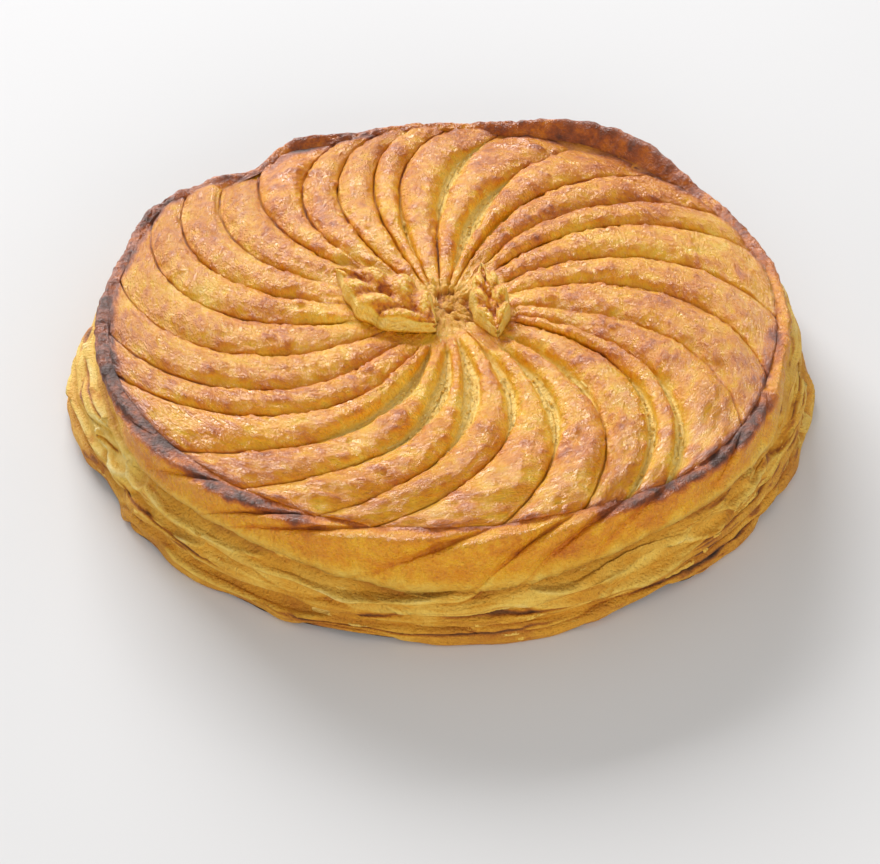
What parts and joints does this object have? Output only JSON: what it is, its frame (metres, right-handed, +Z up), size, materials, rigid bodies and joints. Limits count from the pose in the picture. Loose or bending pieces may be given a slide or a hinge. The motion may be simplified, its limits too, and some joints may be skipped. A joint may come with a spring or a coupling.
{
  "type": "galette des rois",
  "caption": "Round filled puff pastry pie, its glazed lid scored in a swirl, with a flaky side and pastry leaves on top.",
  "frame": {"origin": "middle of the pie's box, on the surface that it rests on", "axes": "+Z up; -Y towards the side where the pie puffed highest; the slim leaf lies along Y"},
  "size_m": [0.2424, 0.2415, 0.0435],
  "materials": {
    "glazed_crust": "baked puff pastry: glazed golden brown lid, burnt crease, pale flaky wall",
    "glazed_leaf": "baked puff pastry: rough golden top with a light glaze, pale sides"
  },
  "bodies": {
    "root": {"galette": "glazed_crust", "leaf_broad": "glazed_leaf", "leaf_slim": "glazed_leaf"}
  },
  "joints": []
}
